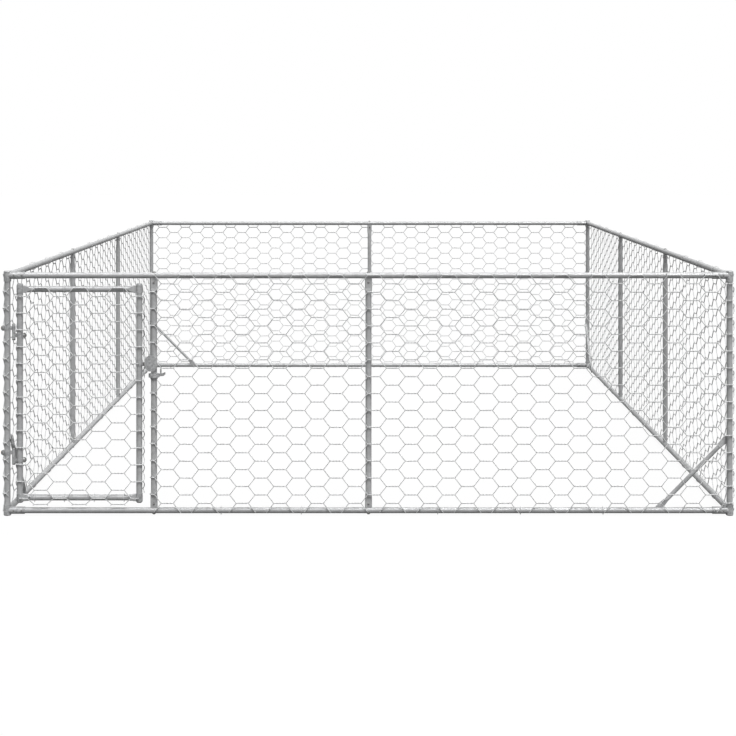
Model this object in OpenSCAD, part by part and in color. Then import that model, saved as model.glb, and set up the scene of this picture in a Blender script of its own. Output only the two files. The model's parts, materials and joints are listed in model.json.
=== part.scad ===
// Outdoor dog kennel run: an open-topped frame of galvanised tube, hexagonal wire netting and one swing door.
// Millimetres. The origin is on the ground in the middle of the run, +X right, +Y back, +Z up.

/* [Run] */
// Width between the axes of the corner posts
run_w = 3000; // [2000:10:4000]
// Depth between the axes of the corner posts
run_d = 4500; // [3000:10:6000]
// Height over the corner caps
run_h = 1017; // [900:1:2000]
// Axis of the bottom rails above the ground
bottom_rail_z = 21.5; // [20:0.5:40]
// Axis of the top rails below the top of the caps
top_rail_drop = 20; // [18:0.5:30]

/* [Tubes] */
// Outside diameter of the posts and the door stiles
post_d = 25; // [22:0.5:30]
// Outside diameter of the rails
rail_d = 25; // [22:0.5:26]
// Outside diameter of the braces
brace_d = 17; // [14:0.5:20]
// Wall of every tube
tube_wall = 1.2; // [0.8:0.1:1.5]

/* [Pressed ends] */
// Width of a pressed post end, in tube diameters
post_press = 1.18; // [1.12:0.01:1.3]
// Width of a pressed door rail end, in tube diameters
rail_press = 1.25; // [1.15:0.01:1.28]
// Width of a pressed brace end, in tube diameters
brace_press = 1.47; // [1.35:0.01:1.49]
// Length of a pressed post end outside the rail
post_press_len = 40; // [34:1:60]
// Length over which a pressed end becomes round
press_taper = 26; // [20:1:40]

/* [Corner fittings] */
// Wall of the post socket
socket_wall = 2.9; // [2:0.1:5]
// Length of the post socket from the closed end
socket_len = 45; // [40:1:70]
// Thickness of the closed end
cap_floor = 4; // [3:0.5:8]
// Rounding of the closed end
cap_round = 5; // [2:0.5:8]
// Wall of the rail sleeves
sleeve_wall = 2.4; // [2:0.1:4]
// Reach of a rail sleeve from the post axis
sleeve_len = 73; // [65:1:110]
// Web between the post socket and the end of a rail
rail_stop = 3.5; // [2:0.5:6]
// Chamfer at the mouth of a sleeve
sleeve_chamfer = 1.5; // [0.5:0.5:2]
// First sleeve screw from the post axis
screw_near = 28; // [25:1:32]
// Second sleeve screw from the post axis
screw_far = 61; // [45:1:62]

/* [Fasteners] */
// Diameter of the bolts
bolt_d = 6; // [5:0.5:8]
// Diameter of a round bolt head
bolt_head_d = 16; // [14:0.5:18]
// Height of a round bolt head
bolt_head_h = 5; // [3:0.5:6]
// Width of a nut across its corners
nut_d = 13; // [11:0.5:15]
// Height of a nut
nut_h = 5; // [4:0.5:6]
// Diameter of the small screws
screw_d = 4; // [3:0.5:5]
// Diameter of a small screw's head
screw_head_d = 8; // [7:0.5:10]
// Height of a small screw's head
screw_head_h = 0.8; // [0.5:0.1:2]
// Diameter of the round heads on the pressed ends of the intermediate posts
cross_head_d = 10; // [8:0.5:12]
// Height of the round heads on the pressed ends of the intermediate posts
cross_head_h = 5; // [2:0.5:6]

/* [Braces] */
// Height of a brace's upper end on the corner post
brace_rise = 325; // [200:1:450]
// Distance of a brace's lower end from the corner post
brace_run = 300; // [200:1:450]
// Length of a pressed brace end from its screw
brace_press_len = 30; // [26:1:50]

/* [Netting] */
// Pitch of the columns of hexagons
mesh_pitch = 78; // [50:1:120]
// Pitch of the rows of hexagons
mesh_row = 70.6; // [40:0.1:110]
// Length of the twisted side of a hexagon, in column pitches
mesh_twist = 0.667; // [0.5:0.001:0.8]
// How many times coarser the drawn net is than the woven one
mesh_coarse = 1.5; // [1:0.25:3]
// Thickness of the wire
wire_d = 2; // [1:0.1:3]
// Thickness of the wire rings
ring_wire = 1.8; // [1.2:0.1:3]
// Edge of the netting from the axis of a corner post
net_corner_gap = 12; // [11:0.5:20]
// Edge of the netting from the axis of an intermediate post
net_post_gap = 1.5; // [1:0.5:6]

/* [Door] */
// Axis of the door post from the axis of the corner post
door_post_u = 609; // [450:1:900]
// Axis of the hinge stile from the axis of the corner post
hinge_side = 52.3; // [50:0.1:65]
// Axis of the latch stile from the axis of the door post
latch_side = 61.2; // [55:0.1:80]
// Top of the stiles below the axis of the top rail
door_top_gap = 33; // [30:1:80]
// Foot of the stiles above the axis of the bottom rail
door_foot_gap = 31.5; // [26:0.5:80]
// Axis of the door's top rail below the top of the stiles
door_rail_top = 24; // [22:0.5:80]
// Axis of the door's bottom rail above the foot of the stiles
door_rail_foot = 21.5; // [20:0.5:80]
// Height of a stile's cap
stile_cap_h = 5; // [3:0.5:8]
// Depth of a stile's cap inside the tube
stile_plug_h = 12; // [8:1:20]
// Wall of the collars on the stiles
collar_wall = 1.6; // [1:0.1:2.2]
// Height of the collars on the stiles
collar_h = 32; // [32:1:38]

/* [Hinges] */
// Height of the lower hinge, where its knuckles meet
hinge_low_z = 246; // [200:1:300]
// Height of the upper hinge, where its knuckles meet
hinge_high_z = 763; // [600:1:800]
// Height of a knuckle
knuckle_h = 30; // [24:1:40]
// Outside diameter of a knuckle
knuckle_d = 14; // [13:0.5:16]
// Diameter of a hinge pin
pin_d = 8; // [6:0.5:9]
// Height of a clamp's band
band_h = 16; // [14:1:20]
// Thickness of a clamp's band
band_t = 1.5; // [1:0.1:2]
// Web between a clamp's band and its knuckle
knuckle_web = 5; // [3:0.5:6]
// Diameter of the boss under a clamp's screw
boss_d = 15; // [12:0.5:18]
// Height of the boss on a clamp's band
boss_h = 1.5; // [1:0.1:3]
// Diameter of a clamp screw's round head
clamp_head_d = 23; // [18:0.5:23]
// Height of a clamp screw's round head
clamp_head_h = 12; // [8:0.5:14]

/* [Latch] */
// Thickness of a lug of the strike clamp
lug_t = 2; // [1.5:0.1:3]
// Slit between the lugs of the strike clamp
lug_slit = 2; // [1:0.5:3]
// Bolt of the strike clamp from the edge of its tube
lug_bolt = 10; // [10:0.5:14]
// Height of the strike clamp
strike_z = 629; // [615:1:700]
// Lower edge of the strike plate below the strike clamp
strike_below = 28.5; // [26:0.5:29]
// Upper edge of the strike plate above the strike clamp
strike_above = 38; // [20:0.5:60]
// Reach of the strike plate before the axis of the door post
strike_before = 36; // [30:1:40]
// Reach of the strike plate past the axis of the door post
strike_past = 16; // [8:1:18]
// Thickness of the strike plate
strike_t = 2.5; // [2:0.1:4]
// Corner cut of the strike plate
strike_cut = 16; // [8:1:20]
// Lower face of the latch collar below the strike clamp
latch_drop = 55; // [52:0.1:70]
// Outside diameter of the latch collar
latch_d = 45; // [38:1:50]
// Height of the latch collar
latch_h = 15; // [12:0.5:16]
// Reach of the latch tongue from the axis of the door post
tongue_r = 47; // [42:1:60]
// Thickness of the latch tongue
tongue_t = 5; // [3:0.5:8]
// Height of the latch tongue
tongue_h = 13; // [10:0.5:15]
// Play between the latch finger and the strike plate as it turns past
finger_play = 2.5; // [1:0.5:6]
// Width of the latch finger
finger_w = 6; // [4:0.5:8]
// Lap of the latch finger in front of the strike plate
finger_lap = 7; // [4:0.5:10]
// Outside diameter of the stop ring under the latch collar
stop_d = 30; // [28:0.5:31]
// Height of the stop ring
stop_h = 8; // [6:1:16]

/* [Hidden] */

// Fits and small allowances
seat_gap = 0.1;
hole_gap = 0.05;
run_gap = 0.06;
face_gap = 0.15;
net_gap = 0.25;
clear_gap = 0.9;
skin = 0.01;
slit_min = 0.4;
cut_over = 1;
press_ease = 0.3;
passage = 0.7;
$fn = 64;

tube_colour = "silver";
fitting_colour = "darkgray";
wire_colour = "gainsboro";
fastener_colour = "lightgray";

// The four walls, seen from outside and counted from the front turning to the right
FRONT = 0;
RIGHT = 1;
BACK = 2;
LEFT = 3;
WALLS = [FRONT, RIGHT, BACK, LEFT];

function wall_len(wall) = wall % 2 == 0 ? run_w : run_d;
function wall_off(wall) = wall % 2 == 0 ? run_d : run_w;

post_r = post_d / 2;
rail_r = rail_d / 2;
top_rail_z = run_h - top_rail_drop;
rail_heights = [bottom_rail_z, top_rail_z];
socket_r = post_r + seat_gap + socket_wall;
sleeve_r = rail_r + seat_gap + sleeve_wall;
rail_from = post_r + seat_gap + rail_stop;
screw_places = [screw_near, screw_far];

// Intermediate posts as [wall, distance from the wall's left corner post]
door_post_place = [FRONT, door_post_u];
front_mid_place = [FRONT, run_w / 2];
right_front_place = [RIGHT, run_d / 3];
right_back_place = [RIGHT, run_d * 2 / 3];
back_mid_place = [BACK, run_w / 2];
left_back_place = [LEFT, run_d / 3];
left_front_place = [LEFT, run_d * 2 / 3];
MID_POSTS = [
    door_post_place, front_mid_place, right_front_place, right_back_place,
    back_mid_place, left_back_place, left_front_place
];

// A tube pressed to a wider oval keeps its girth, which sets the oval's thickness
function press_t(d, ratio) = d * (PI - 2 * ratio) / (PI - 2);
post_flat_w = post_d * post_press;
post_slit = press_t(post_d, post_press) - 2 * tube_wall;
insert_gap = 1;
insert_len = 30;
insert_from = rail_r + insert_gap;
bolt_reach = insert_from + insert_len * 2 / 3;
cross_screw_at = insert_from + insert_len / 2;
cross_screw_len = 3;

brace_t = press_t(brace_d, brace_press);
brace_tip = 7;
brace_screw_len = brace_t + 2 * tube_wall;

// The net lies just outside the sleeves and their screws
net_w = sleeve_r + hole_gap + screw_head_h + net_gap;
net_out = net_w + wire_d;

// Frame bays of netting as [wall, left edge, right edge, cuts], a cut being [u, z, width, height]
latch_cut = [door_post_u, strike_z - latch_drop - 3, tongue_r + 4, latch_drop - strike_below + finger_lap + 6];
front_mid_bay = [FRONT, door_post_u + net_post_gap, run_w / 2 - net_post_gap, [latch_cut]];
front_right_bay = [FRONT, run_w / 2 + net_post_gap, run_w - net_corner_gap, []];
back_left_bay = [BACK, run_w / 2 + net_post_gap, run_w - net_corner_gap, []];
back_right_bay = [BACK, net_corner_gap, run_w / 2 - net_post_gap, []];
function side_bay(wall, number) = [
    wall,
    number == 0 ? net_corner_gap : number * run_d / 3 + net_post_gap,
    number == 2 ? run_d - net_corner_gap : (number + 1) * run_d / 3 - net_post_gap,
    []
];
FRAME_BAYS = [
    front_mid_bay, front_right_bay, back_left_bay, back_right_bay,
    for (wall = [RIGHT, LEFT], number = [0 : 2]) side_bay(wall, number)
];

// Door
hinge_u = hinge_side / 2;
latch_stile_u = door_post_u - latch_side;
door_top_z = top_rail_z - door_top_gap;
door_foot_z = bottom_rail_z + door_foot_gap;
door_rail_heights = [door_foot_z + door_rail_foot, door_top_z - door_rail_top];
collar_r = post_r + seat_gap + collar_wall;
door_rail_flat = 4;
HINGES = [hinge_low_z, hinge_high_z];
band_r = post_r + seat_gap + band_t;
lug_bolt_r = post_r + lug_bolt;
lug_end = lug_bolt_r + nut_d / 2 + 0.5;
lug_half = lug_slit / 2 + lug_t;
clamp_seat = band_r + boss_h;

// Latch
plate_in = net_out + clear_gap;
plate_low = strike_z - strike_below;
riser_u = latch_stile_u + lug_bolt_r + bolt_head_d / 2 + 0.7;
latch_z = strike_z - latch_drop;
latch_turn_r = post_r + run_gap;
finger_r = norm([max(strike_past - strike_cut, 0) + finger_lap, plate_in + strike_t]) + finger_play;

module on_wall(wall) {
    rotate([0, 0, 90 * wall])
    translate([-wall_len(wall) / 2, -wall_off(wall) / 2, 0])
    children();
}

// Puts the children's Z axis along the wall's outward normal
module outward() {
    rotate([90, 0, 0])
    children();
}

module along_wall() {
    rotate([0, 90, 0])
    children();
}

// The section of a pressed end: a disc with two flats
module oval(w, t) {
    intersection() {
        circle(d = w);
        square([w, t], center = true);
    }
}

// A round tube along Z with both ends pressed flat, wide along X
module pressed_tube(length, d, ratio, flat_len, taper) {
    w = d * ratio;
    t = press_t(d, ratio);
    slit = max(t - 2 * tube_wall, slit_min);
    bore_d = d - 2 * tube_wall;
    press_from = flat_len + taper;
    press_to = length - press_from;
    difference() {
        intersection() {
            rotate_extrude()
            polygon([
                [0, 0], [w / 2, 0], [w / 2, flat_len], [d / 2, press_from],
                [d / 2, press_to], [w / 2, length - flat_len], [w / 2, length], [0, length]
            ]);
            rotate([90, 0, 90])
            linear_extrude(2 * w, center = true)
            press_outline(length, d / 2 + press_ease, t / 2, flat_len, press_from);
        }
        translate([0, 0, press_from])
        cylinder(d = bore_d, h = press_to - press_from);
        translate([0, 0, length / 2])
        cube([bore_d * passage, slit * passage, length + 2 * cut_over], center = true);
        for (z = [-cut_over, length - flat_len])
            translate([0, 0, z])
            linear_extrude(flat_len + cut_over)
            oval(w - 2 * tube_wall, slit);
    }
}

// The side view of a pressed tube, thin at both ends
module press_outline(length, half_d, half_t, flat_len, press_from) {
    polygon([
        [-half_t, 0], [half_t, 0], [half_t, flat_len], [half_d, press_from],
        [half_d, length - press_from], [half_t, length - flat_len], [half_t, length],
        [-half_t, length], [-half_t, length - flat_len], [-half_d, length - press_from],
        [-half_d, press_from], [-half_t, flat_len]
    ]);
}

module dome(d, h) {
    ball_r = (d * d / 4 + h * h) / (2 * h);
    rotate_extrude()
    intersection() {
        translate([0, h - ball_r])
        circle(r = ball_r);
        square([d / 2, h]);
    }
}

// A round-headed bolt along Z, with the underside of its head at Z = 0 and its shank below
module round_bolt(d, length, head_d, head_h) {
    dome(head_d, head_h);
    translate([0, 0, -length])
    cylinder(d = d, h = length + skin);
}

module hex_nut(d) {
    difference() {
        cylinder(d = nut_d, h = nut_h, $fn = 6);
        translate([0, 0, -cut_over])
        cylinder(d = d + 2 * hole_gap, h = nut_h + 2 * cut_over);
    }
}

// Frame: posts, fittings and rails

module corner_post(wall) {
    from = cap_floor + seat_gap;
    color(tube_colour)
    on_wall(wall)
    difference() {
        translate([0, 0, from])
        cylinder(d = post_d, h = run_h - 2 * from);
        cylinder(d = post_d - 2 * tube_wall, h = run_h);
        translate([0, 0, brace_rise])
        along_wall()
        cylinder(d = screw_d + 2 * hole_gap, h = post_d);
    }
}

// The two sleeves of a fitting: the first runs along its wall, the second along the wall to its left
module each_sleeve() {
    along_wall()
    children();
    mirror([1, -1, 0])
    along_wall()
    children();
}

module sleeve_screw_holes(length) {
    for (u = screw_places)
        translate([0, 0, u])
        rotate([90, 0, 0])
        cylinder(d = screw_d + 2 * hole_gap, h = length);
}

// A corner fitting with its closed end at Z = 0 and its rails at the given height
module corner_fitting(rail_z) {
    difference() {
        union() {
            rotate_extrude() {
                translate([0, cap_round])
                square([socket_r, socket_len - cap_round]);
                square([socket_r - cap_round, socket_len]);
                translate([socket_r - cap_round, cap_round])
                circle(r = cap_round);
            }
            translate([0, 0, rail_z])
            each_sleeve()
            rotate_extrude()
            polygon([
                [0, 0], [sleeve_r, 0], [sleeve_r, sleeve_len - sleeve_chamfer],
                [sleeve_r - sleeve_chamfer, sleeve_len], [0, sleeve_len]
            ]);
        }
        translate([0, 0, cap_floor])
        cylinder(d = post_d + 2 * seat_gap, h = socket_len);
        translate([0, 0, rail_z])
        each_sleeve() {
            translate([0, 0, rail_from])
            cylinder(d = rail_d + 2 * seat_gap, h = sleeve_len);
            sleeve_screw_holes(sleeve_r + cut_over);
        }
    }
}

module bottom_corner_fittings() {
    color(fitting_colour)
    for (wall = WALLS)
        on_wall(wall)
        corner_fitting(bottom_rail_z);
}

module top_corner_fittings() {
    color(fitting_colour)
    for (wall = WALLS)
        on_wall(wall)
        translate([0, 0, run_h])
        mirror([0, 0, 1])
        corner_fitting(top_rail_drop);
}

module fitting_screw() {
    screw_len = sleeve_r - rail_r + 2 * tube_wall;
    outward()
    translate([0, 0, sleeve_r + hole_gap])
    round_bolt(screw_d, screw_len, screw_head_d, screw_head_h);
}

module fitting_screws() {
    color(fastener_colour)
    for (wall = WALLS, z = rail_heights, u = screw_places)
        on_wall(wall) {
            translate([u, 0, z])
            fitting_screw();
            translate([wall_len(wall) - u, 0, z])
            fitting_screw();
        }
}

module rail(wall, z) {
    length = wall_len(wall);
    from = rail_from + seat_gap;
    color(tube_colour)
    on_wall(wall)
    difference() {
        translate([from, 0, z])
        along_wall()
        cylinder(d = rail_d, h = length - 2 * from);
        translate([0, 0, z])
        along_wall()
        cylinder(d = rail_d - 2 * tube_wall, h = length);
        for (place = MID_POSTS)
            if (place[0] == wall)
                translate([place[1], 0, z])
                cylinder(d = bolt_d + 2 * hole_gap, h = 2 * rail_d, center = true);
        for (u = screw_places, end = [0, 1])
            translate([end == 0 ? u : length - u, 0, z])
            outward()
            cylinder(d = screw_d + 2 * hole_gap, h = rail_d);
        if (z == bottom_rail_z)
            translate([length - brace_run, 0, z])
            outward()
            translate([0, 0, -rail_d])
            cylinder(d = screw_d + 2 * hole_gap, h = rail_d);
    }
}

// Intermediate posts

module at_post_ends(place) {
    on_wall(place[0])
    for (top = [0, 1])
        translate([place[1], 0, rail_heights[top]])
        mirror([0, 0, top])
        children();
}

module cross_screw_hole() {
    translate([0, 0, cross_screw_at])
    outward()
    cylinder(d = screw_d + 2 * hole_gap, h = 2 * post_d, center = true);
}

module mid_post(place) {
    color(tube_colour)
    difference() {
        on_wall(place[0])
        translate([place[1], 0, bottom_rail_z])
        pressed_tube(top_rail_z - bottom_rail_z, post_d, post_press, rail_r + post_press_len, press_taper);
        at_post_ends(place) {
            along_wall()
            cylinder(r = rail_r + seat_gap, h = 2 * post_flat_w, center = true);
            cross_screw_hole();
        }
    }
}

module mid_post_inserts() {
    color(fitting_colour)
    for (place = MID_POSTS)
        at_post_ends(place)
        difference() {
            translate([0, 0, insert_from])
            linear_extrude(insert_len)
            oval(post_flat_w - 2 * tube_wall - 2 * seat_gap, post_slit - 2 * seat_gap);
            cylinder(d = bolt_d + 2 * hole_gap, h = insert_from + insert_len + cut_over);
            cross_screw_hole();
        }
}

module mid_post_bolts() {
    color(fastener_colour)
    for (place = MID_POSTS)
        at_post_ends(place)
        rotate([180, 0, 0])
        translate([0, 0, rail_r + hole_gap])
        round_bolt(bolt_d, rail_r + bolt_reach, bolt_head_d, bolt_head_h);
}

module mid_post_screws() {
    color(fastener_colour)
    for (place = MID_POSTS)
        at_post_ends(place)
        translate([0, 0, cross_screw_at])
        for (face = [0, 180])
            rotate([0, 0, face])
            outward()
            translate([0, 0, press_t(post_d, post_press) / 2 + hole_gap])
            round_bolt(screw_d, cross_screw_len, cross_head_d, cross_head_h);
}

// Braces: each runs from the wall's right corner post down to its bottom rail, on the inside

function brace_top(wall) = [wall_len(wall), post_r + seat_gap + brace_t / 2, brace_rise];
function brace_foot(wall) = [wall_len(wall) - brace_run, rail_r + seat_gap + brace_t / 2, bottom_rail_z];

module brace(wall) {
    from = brace_top(wall);
    along = brace_foot(wall) - from;
    length = norm(along);
    e3 = along / length;
    side = cross([0, 1, 0], e3);
    e1 = side / norm(side);
    e2 = cross(e3, e1);
    color(tube_colour)
    on_wall(wall)
    difference() {
        multmatrix([
            [e1[0], e2[0], e3[0], from[0]],
            [e1[1], e2[1], e3[1], from[1]],
            [e1[2], e2[2], e3[2], from[2]],
            [0, 0, 0, 1]
        ])
        translate([0, 0, -brace_tip])
        pressed_tube(length + 2 * brace_tip, brace_d, brace_press, brace_tip + brace_press_len, press_taper);
        for (end = [brace_top(wall), brace_foot(wall)])
            translate(end)
            outward()
            cylinder(d = screw_d + 2 * hole_gap, h = 2 * brace_d, center = true);
    }
}

module brace_screws() {
    color(fastener_colour)
    for (wall = WALLS)
        on_wall(wall)
        for (end = [brace_top(wall), brace_foot(wall)])
            translate(end + [0, brace_t / 2 + seat_gap, 0])
            rotate([-90, 0, 0])
            round_bolt(screw_d, brace_screw_len, 2 * screw_d, screw_d / 2);
}

// Netting

// A flat net between two edges, with its rows and columns spread evenly over it
module net(u0, u1, z0, z1, cuts) {
    nominal_pitch = mesh_pitch * mesh_coarse;
    nominal_row = mesh_row * mesh_coarse;
    columns = max(round((u1 - u0) / nominal_pitch), 1);
    rows = max(round((z1 - z0) / nominal_row - 0.5), 1);
    pitch = (u1 - u0) / columns;
    row = (z1 - z0) / (rows + 0.5);
    flat = pitch * mesh_twist / 2;
    tip = pitch - flat;
    translate([0, -net_w, 0])
    outward()
    linear_extrude(wire_d)
    difference() {
        translate([u0, z0])
        square([u1 - u0, z1 - z0]);
        intersection() {
            translate([u0 + wire_d, z0 + wire_d])
            square([u1 - u0 - 2 * wire_d, z1 - z0 - 2 * wire_d]);
            union() {
                for (column = [-1 : columns], level = [-1 : rows])
                    translate([
                        u0 + (column + 0.5) * pitch,
                        z0 + (level + 0.25 + abs(column % 2) / 2) * row
                    ])
                    hexagon_gap(flat, tip, row / 2);
            }
        }
        for (cut = cuts)
            translate([cut[0], cut[1]])
            square([cut[2], cut[3]]);
    }
}

// The gap between the wires: its sides lie half a wire inside the hexagon's own
module hexagon_gap(flat, tip, half_h) {
    inset = wire_d / 2;
    slope = half_h / (tip - flat);
    shift = inset * sqrt(1 + slope * slope) / slope;
    gap_tip = tip - shift;
    gap_h = half_h - inset;
    gap_flat = gap_tip - gap_h / slope;
    polygon([
        [-gap_tip, 0], [-gap_flat, -gap_h], [gap_flat, -gap_h],
        [gap_tip, 0], [gap_flat, gap_h], [-gap_flat, gap_h]
    ]);
}

module frame_net(bay) {
    color(wire_colour)
    on_wall(bay[0])
    net(bay[1], bay[2], bottom_rail_z - wire_d / 2, top_rail_z + wire_d / 2, bay[3]);
}

// A closed ring across a tube along Z, round the tube and the net's edge wire in front of it
module net_ring(tube_r) {
    inner = (tube_r + net_out) / 2 + face_gap;
    translate([0, -(net_out - tube_r) / 2, 0])
    rotate_extrude()
    translate([inner + ring_wire / 2, 0])
    circle(d = ring_wire);
}

module net_rings() {
    color(wire_colour)
    for (bay = FRAME_BAYS)
        on_wall(bay[0])
        for (z = rail_heights)
            edge_rings(bay[1], bay[2], z, rail_r, 2, 3);
}

// Rings along a horizontal edge, each in the middle of a column of hexagons
module edge_rings(u0, u1, z, tube_r, first, step) {
    columns = max(round((u1 - u0) / (mesh_pitch * mesh_coarse)), 1);
    pitch = (u1 - u0) / columns;
    for (column = [first : step : columns - 1 - first])
        translate([u0 + (column + 0.5) * pitch, 0, z])
        along_wall()
        net_ring(tube_r);
}

// Door

module door_stile(u) {
    from = door_foot_z + stile_cap_h;
    color(tube_colour)
    on_wall(FRONT)
    translate([u, 0, 0])
    difference() {
        translate([0, 0, from])
        cylinder(d = post_d, h = door_top_z - stile_cap_h - from);
        cylinder(d = post_d - 2 * tube_wall, h = run_h);
    }
}

module stile_cap() {
    plug_r = post_r - tube_wall - seat_gap;
    rotate_extrude() {
        square([post_r - stile_cap_h, stile_cap_h]);
        translate([0, stile_cap_h / 2])
        square([plug_r, stile_cap_h / 2 + stile_plug_h]);
        intersection() {
            translate([post_r - stile_cap_h, stile_cap_h])
            circle(r = stile_cap_h);
            square([post_r, stile_cap_h - hole_gap]);
        }
    }
}

module door_stile_caps() {
    color(fitting_colour)
    on_wall(FRONT)
    for (u = [hinge_side, latch_stile_u]) {
        translate([u, 0, door_foot_z])
        stile_cap();
        translate([u, 0, door_top_z])
        mirror([0, 0, 1])
        stile_cap();
    }
}

module door_collars() {
    color(fitting_colour)
    on_wall(FRONT)
    for (u = [hinge_side, latch_stile_u], z = door_rail_heights)
        translate([u, 0, z - collar_h / 2])
        difference() {
            cylinder(r = collar_r, h = collar_h);
            translate([0, 0, -cut_over])
            cylinder(d = post_d + 2 * seat_gap, h = collar_h + 2 * cut_over);
        }
}

module door_rail(z) {
    color(tube_colour)
    on_wall(FRONT)
    difference() {
        translate([hinge_side, 0, z])
        along_wall()
        pressed_tube(latch_stile_u - hinge_side, rail_d, rail_press, collar_r + door_rail_flat, press_taper);
        for (u = [hinge_side, latch_stile_u])
            translate([u, 0, 0])
            cylinder(r = collar_r + seat_gap, h = run_h);
    }
}

module door_net() {
    color(wire_colour)
    on_wall(FRONT)
    net(hinge_side, latch_stile_u, door_rail_heights[0] - wire_d / 2, door_rail_heights[1] + wire_d / 2, []);
}

module door_net_rings() {
    color(wire_colour)
    on_wall(FRONT)
    for (z = door_rail_heights)
        edge_rings(hinge_side, latch_stile_u, z, rail_r, 0, 1);
}

// Hinges

// A ring on a tube, with a knuckle towards +X that stands on Z = 0, and a boss for its screw towards -X
module hinge_clamp() {
    reach = hinge_side / 2;
    difference() {
        union() {
            translate([0, 0, (knuckle_h - band_h) / 2]) {
                cylinder(r = band_r, h = band_h);
                translate([0, -knuckle_web / 2, 0])
                cube([reach, knuckle_web, band_h]);
            }
            translate([-clamp_seat, 0, knuckle_h / 2])
            along_wall()
            cylinder(d = boss_d, h = clamp_seat);
            translate([reach, 0, face_gap])
            cylinder(d = knuckle_d, h = knuckle_h - face_gap);
        }
        cylinder(d = post_d + 2 * seat_gap, h = knuckle_h);
        translate([-clamp_seat - cut_over, 0, knuckle_h / 2])
        along_wall()
        cylinder(d = bolt_d + 2 * hole_gap, h = clamp_seat);
        translate([reach, 0, -cut_over])
        cylinder(d = pin_d + 2 * run_gap, h = knuckle_h + 2 * cut_over);
    }
}

// The screw of a hinge clamp on a tube on the Z axis, with its head towards -X and its tip on the tube
module clamp_screw() {
    translate([-clamp_seat - hole_gap, 0, 0])
    rotate([0, -90, 0])
    round_bolt(bolt_d, clamp_seat - post_r, clamp_head_d, clamp_head_h);
}

module hinge_post_clamps() {
    color(fitting_colour)
    on_wall(FRONT)
    for (z = HINGES)
        translate([0, 0, z])
        hinge_clamp();
}

module hinge_door_clamps() {
    color(fitting_colour)
    on_wall(FRONT)
    for (z = HINGES)
        translate([hinge_side, 0, z])
        mirror([0, 0, 1])
        mirror([1, 0, 0])
        hinge_clamp();
}

module hinge_pins() {
    color(fastener_colour)
    on_wall(FRONT)
    for (z = HINGES)
        translate([hinge_u, 0, z]) {
            translate([0, 0, knuckle_h + hole_gap])
            round_bolt(pin_d, 2 * knuckle_h + nut_h + face_gap, knuckle_d, bolt_head_h);
            translate([0, 0, -knuckle_h - nut_h - face_gap])
            difference() {
                cylinder(d = nut_d + 1, h = nut_h, $fn = 6);
                translate([0, 0, -cut_over])
                cylinder(d = pin_d + 2 * hole_gap, h = nut_h + 2 * cut_over);
            }
        }
}

module hinge_post_bolts() {
    color(fastener_colour)
    on_wall(FRONT)
    for (z = HINGES)
        translate([0, 0, z + knuckle_h / 2])
        clamp_screw();
}

module door_clamp_bolts() {
    color(fastener_colour)
    on_wall(FRONT) {
        for (z = HINGES)
            translate([hinge_side, 0, z - knuckle_h / 2])
            mirror([1, 0, 0])
            clamp_screw();
        translate([latch_stile_u + lug_bolt_r, 0, strike_z])
        strike_bolt();
    }
}

// Strike and latch

// A band round the latch stile, with two lugs towards the door post
module strike_clamp() {
    color(fitting_colour)
    on_wall(FRONT)
    translate([latch_stile_u, 0, strike_z - band_h / 2])
    difference() {
        union() {
            cylinder(r = band_r, h = band_h);
            translate([0, -lug_half, 0])
            cube([lug_end, 2 * lug_half, band_h]);
        }
        translate([0, 0, -cut_over])
        cylinder(d = post_d + 2 * seat_gap, h = band_h + 2 * cut_over);
        translate([0, -lug_slit / 2, -cut_over])
        cube([lug_end + cut_over, lug_slit, band_h + 2 * cut_over]);
        translate([lug_bolt_r, 0, band_h / 2])
        outward()
        cylinder(d = bolt_d + 2 * hole_gap, h = 4 * lug_half, center = true);
    }
}

// The bolt through the lugs and the strike plate's tab, with its head in front and its nut behind
module strike_bolt() {
    packing = strike_t + hole_gap;
    outward() {
        translate([0, 0, lug_half + packing + hole_gap])
        round_bolt(bolt_d, 2 * lug_half + packing + nut_h + 2, bolt_head_d, bolt_head_h);
        translate([0, 0, -lug_half - nut_h - hole_gap])
        hex_nut(bolt_d);
    }
}

// A tab under the clamp's bolt head, a riser and a plate with cut corners in front of the door post
module strike_plate() {
    tab_u = latch_stile_u + band_r + hole_gap;
    tab_w = lug_half + hole_gap;
    left = door_post_u - strike_before;
    right = door_post_u + strike_past;
    low = plate_low;
    high = strike_z + strike_above;
    color(fitting_colour)
    on_wall(FRONT)
    difference() {
        union() {
            translate([tab_u, -tab_w - strike_t, strike_z - band_h / 2])
            cube([riser_u + strike_t - tab_u, strike_t, band_h]);
            translate([riser_u, -plate_in - strike_t, strike_z - band_h / 2])
            cube([strike_t, plate_in + strike_t - tab_w, band_h]);
            translate([0, -plate_in, 0])
            outward()
            linear_extrude(strike_t)
            polygon([
                [left + strike_cut, low], [right - strike_cut, low], [right, low + strike_cut],
                [right, high - strike_cut], [right - strike_cut, high], [left + strike_cut, high],
                [left, high - strike_cut], [left, low + strike_cut]
            ]);
        }
        translate([latch_stile_u + lug_bolt_r, 0, strike_z])
        outward()
        cylinder(d = bolt_d + 2 * hole_gap, h = lug_half + 2 * strike_t + cut_over);
    }
}

module latch_stop_ring() {
    color(fitting_colour)
    on_wall(FRONT)
    translate([door_post_u, 0, latch_z - stop_h - face_gap])
    difference() {
        cylinder(d = stop_d, h = stop_h);
        translate([0, 0, -cut_over])
        cylinder(d = post_d + 2 * seat_gap, h = stop_h + 2 * cut_over);
    }
}

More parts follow.
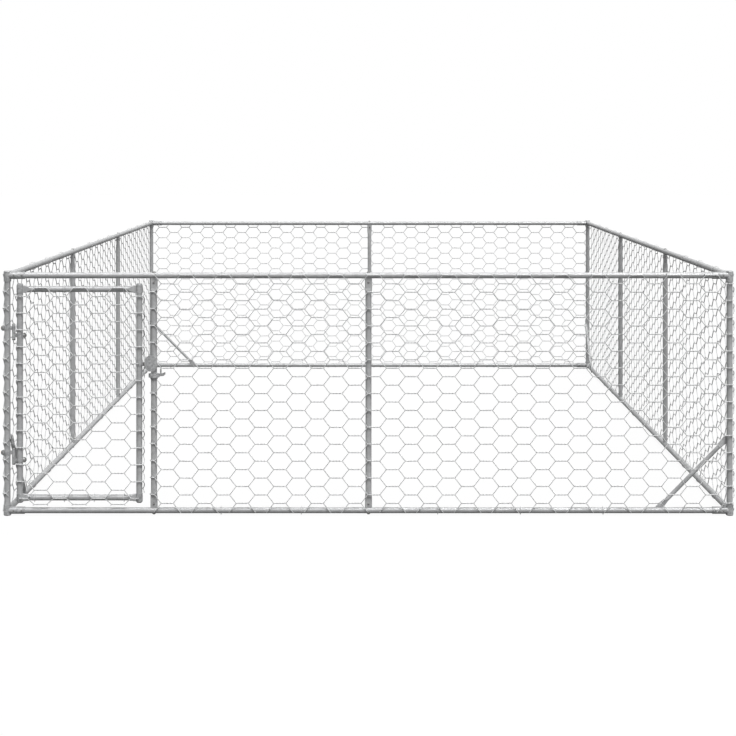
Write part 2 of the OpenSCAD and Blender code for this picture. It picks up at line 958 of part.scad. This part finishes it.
// A collar that turns on the door post, with a tongue and a finger that stands in front of the strike plate
module latch_collar() {
    tongue_z = latch_h - tongue_h / 2;
    finger_z = plate_low + finger_lap - latch_z;
    color(fitting_colour)
    on_wall(FRONT)
    translate([door_post_u, 0, latch_z])
    difference() {
        union() {
            cylinder(d = latch_d, h = latch_h);
            translate([0, tongue_t / 2, 0])
            outward()
            linear_extrude(tongue_t)
            polygon([
                [0, latch_h - tongue_h], [tongue_r - tongue_h / 2, tongue_z - tongue_h / 4],
                [tongue_r, tongue_z + tongue_h / 4], [tongue_r, latch_h + tongue_h / 2],
                [finger_r + finger_w, latch_h], [finger_r + finger_w, finger_z],
                [finger_r, finger_z], [finger_r, latch_h], [0, latch_h]
            ]);
        }
        translate([0, 0, -cut_over])
        cylinder(r = latch_turn_r, h = latch_h + 2 * cut_over);
    }
}

corner_post(FRONT);  // corner_post_front_left
corner_post(RIGHT);  // corner_post_front_right
corner_post(BACK);  // corner_post_back_right
corner_post(LEFT);  // corner_post_back_left
top_corner_fittings();
bottom_corner_fittings();
rail(FRONT, top_rail_z);  // top_rail_front
rail(RIGHT, top_rail_z);  // top_rail_right
rail(BACK, top_rail_z);  // top_rail_back
rail(LEFT, top_rail_z);  // top_rail_left
rail(FRONT, bottom_rail_z);  // bottom_rail_front
rail(RIGHT, bottom_rail_z);  // bottom_rail_right
rail(BACK, bottom_rail_z);  // bottom_rail_back
rail(LEFT, bottom_rail_z);  // bottom_rail_left
mid_post(door_post_place);  // door_post
mid_post(front_mid_place);  // front_mid_post
mid_post(back_mid_place);  // back_mid_post
mid_post(right_front_place);  // right_mid_post_front
mid_post(right_back_place);  // right_mid_post_back
mid_post(left_back_place);  // left_mid_post_back
mid_post(left_front_place);  // left_mid_post_front
mid_post_inserts();
mid_post_bolts();
mid_post_screws();
brace(FRONT);  // front_brace
brace(RIGHT);  // right_brace
brace(BACK);  // back_brace
brace(LEFT);  // left_brace
brace_screws();
fitting_screws();
frame_net(front_mid_bay);  // front_mid_net
frame_net(front_right_bay);  // front_right_net
frame_net(back_left_bay);  // back_left_net
frame_net(back_right_bay);  // back_right_net
frame_net(side_bay(RIGHT, 0));  // right_net_front
frame_net(side_bay(RIGHT, 1));  // right_net_mid
frame_net(side_bay(RIGHT, 2));  // right_net_back
frame_net(side_bay(LEFT, 0));  // left_net_back
frame_net(side_bay(LEFT, 1));  // left_net_mid
frame_net(side_bay(LEFT, 2));  // left_net_front
net_rings();
door_stile(hinge_side);  // door_hinge_stile
door_stile(latch_stile_u);  // door_latch_stile
door_rail(door_rail_heights[1]);  // door_top_rail
door_rail(door_rail_heights[0]);  // door_bottom_rail
door_stile_caps();
door_collars();
door_net();
door_net_rings();
hinge_post_clamps();
hinge_post_bolts();
hinge_pins();
hinge_door_clamps();
door_clamp_bolts();
strike_clamp();
strike_plate();
latch_stop_ring();
latch_collar();
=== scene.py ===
"""Looks of the outdoor dog kennel run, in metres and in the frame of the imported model.

The tubes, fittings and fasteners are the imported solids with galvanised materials. The flat nets are
replaced by woven hexagonal netting, bent round the rails and the end posts.
"""
import json
import math

import bpy
import numpy as np
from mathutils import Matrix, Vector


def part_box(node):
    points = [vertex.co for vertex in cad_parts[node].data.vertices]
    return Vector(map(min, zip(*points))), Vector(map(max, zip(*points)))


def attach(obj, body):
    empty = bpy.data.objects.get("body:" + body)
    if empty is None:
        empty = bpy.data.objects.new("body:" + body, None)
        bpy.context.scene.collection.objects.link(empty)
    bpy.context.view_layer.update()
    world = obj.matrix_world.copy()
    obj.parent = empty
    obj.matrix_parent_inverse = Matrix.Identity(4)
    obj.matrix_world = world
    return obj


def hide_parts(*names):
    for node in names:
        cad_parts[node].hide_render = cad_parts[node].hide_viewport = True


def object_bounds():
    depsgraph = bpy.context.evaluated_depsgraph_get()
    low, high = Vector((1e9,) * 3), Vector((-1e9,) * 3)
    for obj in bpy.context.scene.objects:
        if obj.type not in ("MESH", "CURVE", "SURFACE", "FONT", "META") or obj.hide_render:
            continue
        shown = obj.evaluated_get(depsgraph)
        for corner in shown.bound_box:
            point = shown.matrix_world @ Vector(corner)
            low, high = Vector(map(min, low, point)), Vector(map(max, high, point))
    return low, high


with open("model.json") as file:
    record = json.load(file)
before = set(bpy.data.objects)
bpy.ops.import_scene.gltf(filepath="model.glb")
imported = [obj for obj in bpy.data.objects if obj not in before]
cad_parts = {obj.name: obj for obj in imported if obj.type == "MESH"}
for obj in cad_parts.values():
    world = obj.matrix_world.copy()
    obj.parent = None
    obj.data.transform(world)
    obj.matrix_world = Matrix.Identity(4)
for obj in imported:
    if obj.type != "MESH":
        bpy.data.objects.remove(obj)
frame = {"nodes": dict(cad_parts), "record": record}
cad_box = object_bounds()

MM = 0.001

# Woven netting
WIRE_R = 1.9 * MM
WIRE_SIDES = 6
NO_LENGTH = 1e-9  # keeps a direction from a division by zero
TWIST_SHARE = 2 / 3  # length of a twist, in column pitches
TWIST_R = 0.5 * WIRE_R  # of each wire about the middle of its pair
PAIR_R = WIRE_R + TWIST_R
TWIST_TURNS = 2
TWIST_STEPS = 10
BEND_STEP = 5.0 * MM  # longest piece of a wire where it bends round a tube
CUT_HALVINGS = 10  # to find where a wire meets the edge of its sheet
NET_OUT = 18.0 * MM  # middle of the netting from the axes of the posts
TOP_LAP = 10.0 * MM  # of the netting above the axis of its top rail
LEG_TOP = 6.0 * MM  # below this height over the bottom rail's axis the pairs part and go round the rail
LEG_WRAP = math.radians(75)  # how far they go round it
FRONT_LEG_WRAP = math.radians(30)  # the front nets end on the face of their rail
CORNER_WRAP = math.radians(45)  # of a net round its corner post
POST_WRAP = math.radians(200)  # of a net round a post or stile at the door
HINGE_WRAP = math.radians(120)  # the hinge post's wires end where the open door comes close
HINGE_PART = 24.0 * MM  # past the hinge post's axis its pairs of wires part
HANG_SHARE = 0.7  # the row of hexagons under the door is drawn up
POST_LEAD = 60.0 * MM  # over this length a net comes down to the post that it is wound round
SIDE_BAYS = 3

# Galvanised surface
CLOUD_SCALE = 0.16  # cloudy stains across one crystal patch
GRAIN_SCALE = 6.0  # grains across one crystal patch
CLOUD_SHARE = 0.55  # of the stains in the tone, the rest are crystals
TONE_LOW, TONE_HIGH = 0.15, 0.85  # where the tone is all dark and all light
GRAIN_LOW, GRAIN_HIGH = 0.3, 0.7  # range of the grain
SMOOTHER, ROUGHER = 0.07, 0.09  # what the grain takes from the roughness and adds to it
RELIEF_STRENGTH = 0.35

# Studio
FLOOR_HALF = 40.0
FLOOR_TONE = 0.9
FLOOR_GLOW = 0.95  # share of the floor that is plain white behind the object
FLOOR_BOUNCE = 0.02  # the floor's colour for the light that falls on the object
AMBIENT = 0.08

# Camera of the photograph, which is IMAGE_SIZE pixels wide
IMAGE_SIZE = 736
FOCAL_PX = 1652.6
HORIZON_PX = 143.7
CAMERA_X = 10.5 * MM
CAMERA_BACK = 6.866  # in front of the front wall
CENTRE_PX = 371.03  # where the camera's axis meets the image
CAMERA_Z = 1.544
SENSOR_MM = 36.0
CAMERA_REACH = 200.0


# The frame's main lines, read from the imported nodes

def middle(node):
    """The middle of a node's box."""
    low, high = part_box(node)
    return (np.array(low) + np.array(high)) / 2


def radius(node, axis):
    """Half the width of a node's box along one axis."""
    low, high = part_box(node)
    return (high[axis] - low[axis]) / 2


POST_R = radius("corner_post_front_left", 0)
RAIL_R = radius("top_rail_front", 1)
RAIL_LOW = middle("bottom_rail_front")[2]
RAIL_HIGH = middle("top_rail_front")[2]
DOOR_LOW = middle("door_bottom_rail")[2]
DOOR_HIGH = middle("door_top_rail")[2]
SOCKET_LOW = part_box("bottom_corner_fittings")[1][2]
SOCKET_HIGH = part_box("top_corner_fittings")[0][2]
UP = np.array([0.0, 0.0, 1.0])


class Wall:
    """A wall between two corner posts, seen from outside: u runs from its left post to its right."""

    def __init__(self, left, right):
        start = middle(left) * (1, 1, 0)
        end = middle(right) * (1, 1, 0)
        self.start = start
        self.length = np.linalg.norm(end - start)
        self.along = (end - start) / self.length
        self.out = np.array([self.along[1], -self.along[0], 0.0])

    def u_of(self, node):
        """Where a node's middle lies along the wall."""
        return float((middle(node) - self.start) @ self.along)


FRONT = Wall("corner_post_front_left", "corner_post_front_right")
RIGHT = Wall("corner_post_front_right", "corner_post_back_right")
BACK = Wall("corner_post_back_right", "corner_post_back_left")
LEFT = Wall("corner_post_back_left", "corner_post_front_left")


# Materials

def node_material(name):
    """A new material with its shader and a helper that adds a node."""
    material = bpy.data.materials.new(name)
    material.use_nodes = True
    tree = material.node_tree
    shader = tree.nodes["Principled BSDF"]

    def add(kind, **values):
        made = tree.nodes.new(kind)
        for key, value in values.items():
            if hasattr(made, key):
                setattr(made, key, value)
            else:
                made.inputs[key.replace("_", " ")].default_value = value
        return made

    return material, tree.links.new, shader, add


def galvanised(name, dark, light, spangle, rough, metallic, gloss, relief):
    """Zinc-coated steel: crystal patches of the given size, cloudy stains and a slightly uneven surface."""
    material, link, shader, add = node_material(name)
    where = add("ShaderNodeTexCoord").outputs["Object"]
    crystals = add("ShaderNodeTexVoronoi", Scale=1 / spangle, Randomness=1.0)
    clouds = add("ShaderNodeTexNoise", Scale=CLOUD_SCALE / spangle, Detail=4.0, Roughness=0.6)
    grain = add("ShaderNodeTexNoise", Scale=GRAIN_SCALE / spangle, Detail=3.0, Roughness=0.55)
    for texture in (crystals, clouds, grain):
        link(where, texture.inputs["Vector"])
    patch = add("ShaderNodeSeparateColor")
    link(crystals.outputs["Color"], patch.inputs["Color"])
    blend = add("ShaderNodeMix", data_type="FLOAT")
    blend.inputs["Factor"].default_value = CLOUD_SHARE
    link(patch.outputs["Red"], blend.inputs[2])
    link(clouds.outputs["Fac"], blend.inputs[3])
    tone = add("ShaderNodeValToRGB")
    tone.color_ramp.elements[0].position = TONE_LOW
    tone.color_ramp.elements[0].color = (*dark, 1)
    tone.color_ramp.elements[1].position = TONE_HIGH
    tone.color_ramp.elements[1].color = (*light, 1)
    link(blend.outputs[0], tone.inputs["Fac"])
    link(tone.outputs["Color"], shader.inputs["Base Color"])
    sheen = add(
        "ShaderNodeMapRange",
        From_Min=GRAIN_LOW, From_Max=GRAIN_HIGH, To_Min=rough - SMOOTHER, To_Max=rough + ROUGHER,
    )
    link(grain.outputs["Fac"], sheen.inputs["Value"])
    link(sheen.outputs["Result"], shader.inputs["Roughness"])
    bump = add("ShaderNodeBump", Strength=RELIEF_STRENGTH, Distance=relief)
    link(grain.outputs["Fac"], bump.inputs["Height"])
    link(bump.outputs["Normal"], shader.inputs["Normal"])
    shader.inputs["Metallic"].default_value = metallic
    shader.inputs["Specular IOR Level"].default_value = gloss
    return material


MATERIALS = {
    "galvanised_tube": galvanised(
        "galvanised_tube", dark=(0.51, 0.515, 0.52), light=(0.63, 0.635, 0.64),
        spangle=14 * MM, rough=0.22, metallic=0.15, gloss=0.0, relief=0.15 * MM,
    ),
    "galvanised_fitting": galvanised(
        "galvanised_fitting", dark=(0.34, 0.345, 0.35), light=(0.68, 0.685, 0.69),
        spangle=7 * MM, rough=0.28, metallic=0.16, gloss=0.0, relief=0.3 * MM,
    ),
    "netting_wire": galvanised(
        "netting_wire", dark=(0.77, 0.775, 0.78), light=(0.85, 0.855, 0.86),
        spangle=20 * MM, rough=0.45, metallic=0.0, gloss=0.1, relief=0.05 * MM,
    ),
    "zinc_fastener": galvanised(
        "zinc_fastener", dark=(0.17, 0.17, 0.168), light=(0.23, 0.23, 0.226),
        spangle=5 * MM, rough=0.36, metallic=0.9, gloss=0.2, relief=0.1 * MM,
    ),
}

for part in frame["record"]["subparts"]:
    for slot in frame["nodes"][part["node"]].material_slots:
        slot.material = MATERIALS[part["material_slot"]]


# Netting

def smooth(share):
    """Eases from 0 to 1 as the share does."""
    share = min(max(share, 0.0), 1.0)
    return share * share * (3 - 2 * share)


class Edge:
    """Where a net ends at a post.

    u is the post's place, angle is how far the wires go round it, tight is their distance from its axis,
    lead is the length over which the net comes down to that, and part is how far past the axis the pairs
    of wires part.
    """

    def __init__(self, u, angle=0.0, tight=NET_OUT, lead=0.0, part=math.inf):
        self.u = u
        self.tight = tight
        self.lead = lead
        self.part = part
        self.bend_r = (NET_OUT + tight) / 2
        self.reach = angle * self.bend_r


class Net:
    """One bay of netting: a lattice of twisted wires on a sheet that bends round rails and end posts.

    low and high are the axes of the rails, lattice is the u and z of one twist, the pitch of the columns
    and the height of a hexagon, cuts are boxes (u0, u1, v0, v1) that stay clear, and posts_clear limits
    the bends round the posts. hang is how far the lower edge goes straight down past its rail, instead
    of round it by leg_wrap.
    """

    def __init__(
        self, wall, left, right, low, high, lattice,
        cuts=(), posts_clear=(SOCKET_LOW, SOCKET_HIGH), hang=0.0, leg_wrap=LEG_WRAP,
    ):
        self.wall = wall
        self.left = left
        self.right = right
        self.low = low
        self.high = high
        self.lattice = lattice
        self.cuts = cuts
        self.posts_clear = posts_clear
        self.rise = RAIL_R + PAIR_R
        self.rail_bend_r = (NET_OUT + self.rise) / 2
        self.hang = hang
        self.under = hang or leg_wrap * self.rail_bend_r
        self.legs_from = -math.inf if hang else low + LEG_TOP
        self.points = []
        self.faces = []

    def holds(self, u, v):
        """Whether the sheet has a place u, v."""
        if not self.left.u - self.left.reach <= u <= self.right.u + self.right.reach:
            return False
        if not self.low - self.under <= v <= self.high + TOP_LAP:
            return False
        beside = u < self.left.u or u > self.right.u
        if beside and not self.posts_clear[0] <= v <= self.posts_clear[1]:
            return False
        return not any(u0 <= u <= u1 and v0 <= v <= v1 for u0, u1, v0, v1 in self.cuts)

    def place(self, u, v, w):
        """The point and the outward direction of a place u, v on the sheet, w in front of it."""
        below = max(self.low - v, 0.0)
        tilt = (max(v - self.high, 0.0) - (0.0 if self.hang else below)) / self.rail_bend_r
        depth = NET_OUT * math.cos(tilt) + w * math.cos(tilt)
        z = min(max(v, self.low), self.high) + (self.rise + w) * math.sin(tilt)
        if self.hang:
            z -= below * HANG_SHARE
        out = self.wall.out
        along = self.wall.along
        for edge, inside in ((self.left, u - self.left.u), (self.right, self.right.u - u)):
            turn = max(-inside, 0.0) / edge.bend_r * (1 if edge is self.left else -1)
            if edge.lead:
                ends = min(v - self.posts_clear[0], self.posts_clear[1] - v) / edge.lead
                near = smooth(1 - inside / edge.lead) * smooth(ends)
            else:
                near = smooth(abs(turn) / (math.pi / 2))
            depth += (edge.tight - NET_OUT) * near
            if turn:
                out = self.wall.out * math.cos(turn) - along * math.sin(turn)
                u = edge.u
        point = self.wall.start + along * u + out * depth + UP * z
        return point, out * math.cos(tilt) + UP * math.sin(tilt)

    def bends(self, u, v):
        """Whether the sheet bends at a place u, v."""
        return u < self.left.u or u > self.right.u or v < self.low or v > self.high

    def parted(self, u):
        """How far a place lies past the point where the pairs part."""
        return max(u - self.right.u - self.right.part, self.left.u - self.left.part - u, 0.0)

    def strand(self, number, columns):
        """The places (u, v, w) along one wire, which twists in turn with the wire below and the one above.

        At the bottom rail it goes straight on instead of twisting, down to a place off the sheet.
        """
        u_ref, v_ref, pitch, row = self.lattice
        twist = pitch * TWIST_SHARE
        slope = row / 2 / (pitch - twist)
        off_sheet = self.low - 2 * self.under
        places = []
        for column in columns:
            lower = (column + number) % 2 == 0
            v = v_ref + (number + (0 if lower else 1)) * row / 2
            u_start = u_ref + column * pitch - twist / 2
            if v < self.legs_from:
                lean = (v - off_sheet) / slope if lower else 0.0
                places.append((u_start + lean, off_sheet, 0.0))
                places.append((u_start + twist - lean, off_sheet, 0.0))
                continue
            start = 0.0 if lower else math.pi
            for step in range(TWIST_STEPS + 1):
                share = step / TWIST_STEPS
                u = u_start + share * twist
                parted = self.parted(u)
                angle = start + 2 * math.pi * TWIST_TURNS * share
                radius_here = 0.0 if parted else TWIST_R
                spread = parted * slope * (1 if lower else -1)
                places.append((u, v + spread + radius_here * math.cos(angle), radius_here * math.sin(angle)))
        return places

    def cut_at_edge(self, inside, outside):
        """The last place on the sheet between one that is on it and one that isn't."""
        inside, outside = np.array(inside), np.array(outside)
        for _ in range(CUT_HALVINGS):
            half = (inside + outside) / 2
            if self.holds(half[0], half[1]):
                inside = half
            else:
                outside = half
        return tuple(inside)

    def runs(self, places):
        """Splits a strand into the runs that lie on the sheet, with more points where it bends."""
        fine = [places[0]]
        for a, b in zip(places, places[1:]):
            near = self.bends(a[0], a[1]) or self.bends(b[0], b[1])
            steps = math.ceil(math.dist(a[:2], b[:2]) / BEND_STEP) if near else 1
            for step in range(1, steps + 1):
                fine.append(tuple(a[i] + (b[i] - a[i]) * step / steps for i in range(3)))
        run = []
        last = None
        for place in fine:
            if self.holds(place[0], place[1]):
                if not run and last:
                    run.append(self.cut_at_edge(place, last))
                run.append(place)
            elif run:
                run.append(self.cut_at_edge(run[-1], place))
                yield run
                run = []
            last = place
        if len(run) > 1:
            yield run

    def sweep(self, run):
        """Adds a round wire along a run of places."""
        placed = [self.place(*place) for place in run]
        points = np.array([point for point, _ in placed])
        outs = np.array([out for _, out in placed])
        ahead = np.gradient(points, axis=0)
        ahead /= np.maximum(np.linalg.norm(ahead, axis=1, keepdims=True), NO_LENGTH)
        sides = np.cross(ahead, outs)
        sides /= np.maximum(np.linalg.norm(sides, axis=1, keepdims=True), NO_LENGTH)
        fronts = np.cross(sides, ahead)
        first = len(self.points)
        angles = np.arange(WIRE_SIDES) * 2 * math.pi / WIRE_SIDES
        ring = (
            fronts[:, None, :] * np.cos(angles)[None, :, None]
            + sides[:, None, :] * np.sin(angles)[None, :, None]
        )
        self.points.extend((points[:, None, :] + WIRE_R * ring).reshape(-1, 3).tolist())
        for i in range(len(run) - 1):
            at = first + i * WIRE_SIDES
            for j in range(WIRE_SIDES):
                k = (j + 1) % WIRE_SIDES
                self.faces.append((at + j, at + k, at + WIRE_SIDES + k, at + WIRE_SIDES + j))
        last = first + (len(run) - 1) * WIRE_SIDES
        self.faces.append(tuple(range(first + WIRE_SIDES - 1, first - 1, -1)))
        self.faces.append(tuple(range(last, last + WIRE_SIDES)))

    def build(self, name, node, body):
        """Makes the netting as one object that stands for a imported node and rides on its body."""
        u_ref, v_ref, pitch, row = self.lattice
        columns = range(
            math.floor((self.left.u - self.left.reach - u_ref) / pitch) - 1,
            math.ceil((self.right.u + self.right.reach - u_ref) / pitch) + 2,
        )
        numbers = range(
            math.floor((self.low - self.under - v_ref) / (row / 2)) - 1,
            math.ceil((self.high + TOP_LAP - v_ref) / (row / 2)) + 1,
        )
        for number in numbers:
            for run in self.runs(self.strand(number, columns)):
                self.sweep(run)
        mesh = bpy.data.meshes.new(name)
        mesh.from_pydata(self.points, [], self.faces)
        mesh.polygons.foreach_set("use_smooth", [True] * len(mesh.polygons))
        mesh.materials.append(MATERIALS["netting_wire"])
        piece = bpy.data.objects.new(name, mesh)
        bpy.context.scene.collection.objects.link(piece)
        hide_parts(node)
        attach(piece, body)


def box_of(wall, node, margin):
    """A cut round a node: its u and z with a margin."""
    low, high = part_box(node)
    ends = sorted(float((np.array(corner) - wall.start) @ wall.along) for corner in (low, high))
    return (ends[0] - margin, ends[1] + margin, low[2] - margin, high[2] + margin)


def band(z, half, u0, u1):
    """A cut over a stretch u0 to u1 at a height."""
    return (u0, u1, z - half, z + half)


CLEAR = 3 * MM
TIGHT = POST_R + PAIR_R + 0.1 * MM
LOOSE = 21.0 * MM  # the door's netting stands off its latch stile
DOOR_EDGE = 33.0 * MM  # and ends below its bottom rail, measured before it is drawn up
FAR = 1.0  # beyond any bend round a post

door_post_u = FRONT.u_of("door_post")
front_mid_u = FRONT.u_of("front_mid_post")
hinge_stile_u = FRONT.u_of("door_hinge_stile")
latch_stile_u = FRONT.u_of("door_latch_stile")
latch_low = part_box("latch_stop_ring")[0][2]
latch_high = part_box("latch_collar")[1][2]
latch_u1 = box_of(FRONT, "latch_collar", CLEAR)[1]

# One twist of each sheet (u, z) as the photograph shows it, the pitch of the columns and the height of a
# hexagon
FRONT_LATTICE = (743.5 * MM, 579.2 * MM, 77.8 * MM, 70.0 * MM)
RIGHT_LATTICE = (32.5 * MM, 304.5 * MM, 87.1 * MM, 69.5 * MM)
BACK_LATTICE = (2845.8 * MM, 932.6 * MM, 77.7 * MM, 71.2 * MM)
LEFT_LATTICE = (LEFT.length - 150.7 * MM, 303.1 * MM, 87.4 * MM, 69.8 * MM)
DOOR_LATTICE = (220.9 * MM, 283.1 * MM, 80.3 * MM, 69.8 * MM)


def hinge_bands(bolts, u0, u1):
    """Cuts at the lower and the upper hinge clamp, as high as the heads of their screws."""
    head_r = radius(bolts, 1)
    low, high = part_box(bolts)
    return [band(z, head_r + CLEAR, u0, u1) for z in (low[2] + head_r, high[2] - head_r)]


# The wires stay clear of the hinge clamps, of the strike clamp and of the latch's sweep
latch_cut = (door_post_u - FAR, latch_u1, latch_low - CLEAR, latch_high + CLEAR)
left_cuts = hinge_bands("hinge_post_bolts", LEFT.length - POST_R, LEFT.length + FAR)
door_cuts = hinge_bands("door_clamp_bolts", hinge_stile_u - FAR, hinge_stile_u)
strike_z = middle("strike_clamp")[2]
door_cuts.append(band(strike_z, radius("strike_clamp", 2) + CLEAR, latch_stile_u, latch_stile_u + FAR))
collar = radius("door_collars", 2) - (DOOR_HIGH - DOOR_LOW) / 2
door_clear = (DOOR_LOW + collar + CLEAR, DOOR_HIGH - collar - CLEAR)


def corner(u):
    """The end of a net that goes a little way round a corner post."""
    return Edge(u, CORNER_WRAP)


def wound(u):
    """The end of a net that lies close on a post or stile and is wound round it."""
    return Edge(u, POST_WRAP, TIGHT, POST_LEAD)


def frame_net(node, wall, left, right, lattice, cuts=(), leg_wrap=LEG_WRAP):
    """Makes the woven netting of one bay of the frame."""
    net = Net(wall, left, right, RAIL_LOW, RAIL_HIGH, lattice, cuts, leg_wrap=leg_wrap)
    net.build("woven_" + node, node, "frame")


def side_nets(wall, side, order, lattice, ends, cuts):
    """The bays of a side wall, from its left post to its right."""
    posts = [wall.length * bay / SIDE_BAYS for bay in range(SIDE_BAYS + 1)]
    for number, place in enumerate(order):
        left = ends[0] if number == 0 else Edge(posts[number])
        right = ends[1] if number == SIDE_BAYS - 1 else Edge(posts[number + 1])
        frame_net(f"{side}_net_{place}", wall, left, right, lattice, cuts)


frame_net(
    "front_mid_net", FRONT, wound(door_post_u), Edge(front_mid_u), FRONT_LATTICE, [latch_cut], FRONT_LEG_WRAP
)
frame_net(
    "front_right_net", FRONT, Edge(front_mid_u), corner(FRONT.length), FRONT_LATTICE, leg_wrap=FRONT_LEG_WRAP
)
back_mid_u = BACK.u_of("back_mid_post")
frame_net("back_right_net", BACK, corner(0.0), Edge(back_mid_u), BACK_LATTICE)
frame_net("back_left_net", BACK, Edge(back_mid_u), corner(BACK.length), BACK_LATTICE)
side_nets(RIGHT, "right", ("front", "mid", "back"), RIGHT_LATTICE, (corner(0.0), corner(RIGHT.length)), ())
hinge_edge = Edge(LEFT.length, HINGE_WRAP, TIGHT, part=HINGE_PART)
side_nets(LEFT, "left", ("back", "mid", "front"), LEFT_LATTICE, (corner(0.0), hinge_edge), left_cuts)
Net(
    FRONT, wound(hinge_stile_u), Edge(latch_stile_u, POST_WRAP, LOOSE),
    DOOR_LOW, DOOR_HIGH, DOOR_LATTICE, door_cuts, door_clear, DOOR_LOW - DOOR_EDGE
).build("woven_door_net", "door_net", "door")


# Studio: a floor and a world that are white behind the object, and soft lamps mostly from above

def white_backdrop(tree, behind, elsewhere, target):
    """Shows one shader to the camera and in reflections, and the other to light that falls on the object."""
    light = tree.nodes.new("ShaderNodeLightPath")
    seen = light.outputs["Is Camera Ray"]
    for name in ("Is Glossy Ray", "Is Transmission Ray"):
        either = tree.nodes.new("ShaderNodeMath")
        either.operation = "MAXIMUM"
        tree.links.new(seen, either.inputs[0])
        tree.links.new(light.outputs[name], either.inputs[1])
        seen = either.outputs[0]
    mix = tree.nodes.new("ShaderNodeMixShader")
    tree.links.new(seen, mix.inputs[0])
    tree.links.new(elsewhere.outputs[0], mix.inputs[1])
    tree.links.new(behind.outputs[0], mix.inputs[2])
    tree.links.new(mix.outputs[0], target)


floor_mesh = bpy.data.meshes.new("floor")
floor_mesh.from_pydata(
    [(x * FLOOR_HALF, y * FLOOR_HALF, cad_box[0][2]) for x, y in ((-1, -1), (1, -1), (1, 1), (-1, 1))],
    [], [(0, 1, 2, 3)],
)
floor = bpy.data.objects.new("floor", floor_mesh)
bpy.context.scene.collection.objects.link(floor)
floor_paint = bpy.data.materials.new("floor_paint")
floor_paint.use_nodes = True
floor_tree = floor_paint.node_tree
floor_tree.nodes.clear()
floor_out = floor_tree.nodes.new("ShaderNodeOutputMaterial")
pale = floor_tree.nodes.new("ShaderNodeBsdfDiffuse")
pale.inputs["Color"].default_value = (FLOOR_TONE, FLOOR_TONE, FLOOR_TONE, 1)
glow = floor_tree.nodes.new("ShaderNodeEmission")
lit = floor_tree.nodes.new("ShaderNodeMixShader")
lit.inputs[0].default_value = FLOOR_GLOW
floor_tree.links.new(pale.outputs[0], lit.inputs[1])
floor_tree.links.new(glow.outputs[0], lit.inputs[2])
low_bounce = floor_tree.nodes.new("ShaderNodeBsdfDiffuse")
low_bounce.inputs["Color"].default_value = (FLOOR_BOUNCE, FLOOR_BOUNCE, FLOOR_BOUNCE, 1)
white_backdrop(floor_tree, lit, low_bounce, floor_out.inputs["Surface"])
floor_mesh.materials.append(floor_paint)

world = bpy.data.worlds.new("studio")
world.use_nodes = True
bpy.context.scene.world = world
sky_tree = world.node_tree
sky_tree.nodes.clear()
sky_out = sky_tree.nodes.new("ShaderNodeOutputWorld")
white = sky_tree.nodes.new("ShaderNodeBackground")
white.inputs["Color"].default_value = (1, 1, 1, 1)
ambient = sky_tree.nodes.new("ShaderNodeBackground")
ambient.inputs["Color"].default_value = (1, 1, 1, 1)
ambient.inputs["Strength"].default_value = AMBIENT
white_backdrop(sky_tree, white, ambient, sky_out.inputs["Surface"])


def soft_sun(name, azimuth, elevation, strength, spread):
    """A distant soft lamp. Azimuth 0 shines from the front, and positive from the right."""
    lamp = bpy.data.lights.new(name, "SUN")
    lamp.energy = strength
    lamp.angle = math.radians(spread)
    holder = bpy.data.objects.new(name, lamp)
    holder.rotation_euler = (math.radians(90 - elevation), 0, math.radians(azimuth))
    bpy.context.scene.collection.objects.link(holder)


soft_sun("key_right", azimuth=22, elevation=56, strength=1.8, spread=24)
soft_sun("key_left", azimuth=-12, elevation=58, strength=0.6, spread=24)
soft_sun("left", azimuth=-80, elevation=70, strength=0.8, spread=25)
soft_sun("right", azimuth=80, elevation=55, strength=0.6, spread=25)
soft_sun("back", azimuth=180, elevation=40, strength=0.5, spread=20)
soft_sun("front", azimuth=28, elevation=10, strength=0.12, spread=20)

camera_data = bpy.data.cameras.new("camera")
camera_data.sensor_width = SENSOR_MM
camera_data.lens = SENSOR_MM * FOCAL_PX / IMAGE_SIZE
camera_data.shift_x = (IMAGE_SIZE / 2 - CENTRE_PX) / IMAGE_SIZE
camera_data.shift_y = (HORIZON_PX - IMAGE_SIZE / 2) / IMAGE_SIZE
camera_data.clip_end = CAMERA_REACH
camera = bpy.data.objects.new("camera", camera_data)
camera.location = (CAMERA_X, FRONT.start[1] - CAMERA_BACK, CAMERA_Z)
camera.rotation_euler = (math.radians(90), 0, 0)
bpy.context.scene.collection.objects.link(camera)
bpy.context.scene.camera = camera
bpy.context.scene.view_settings.view_transform = "Standard"
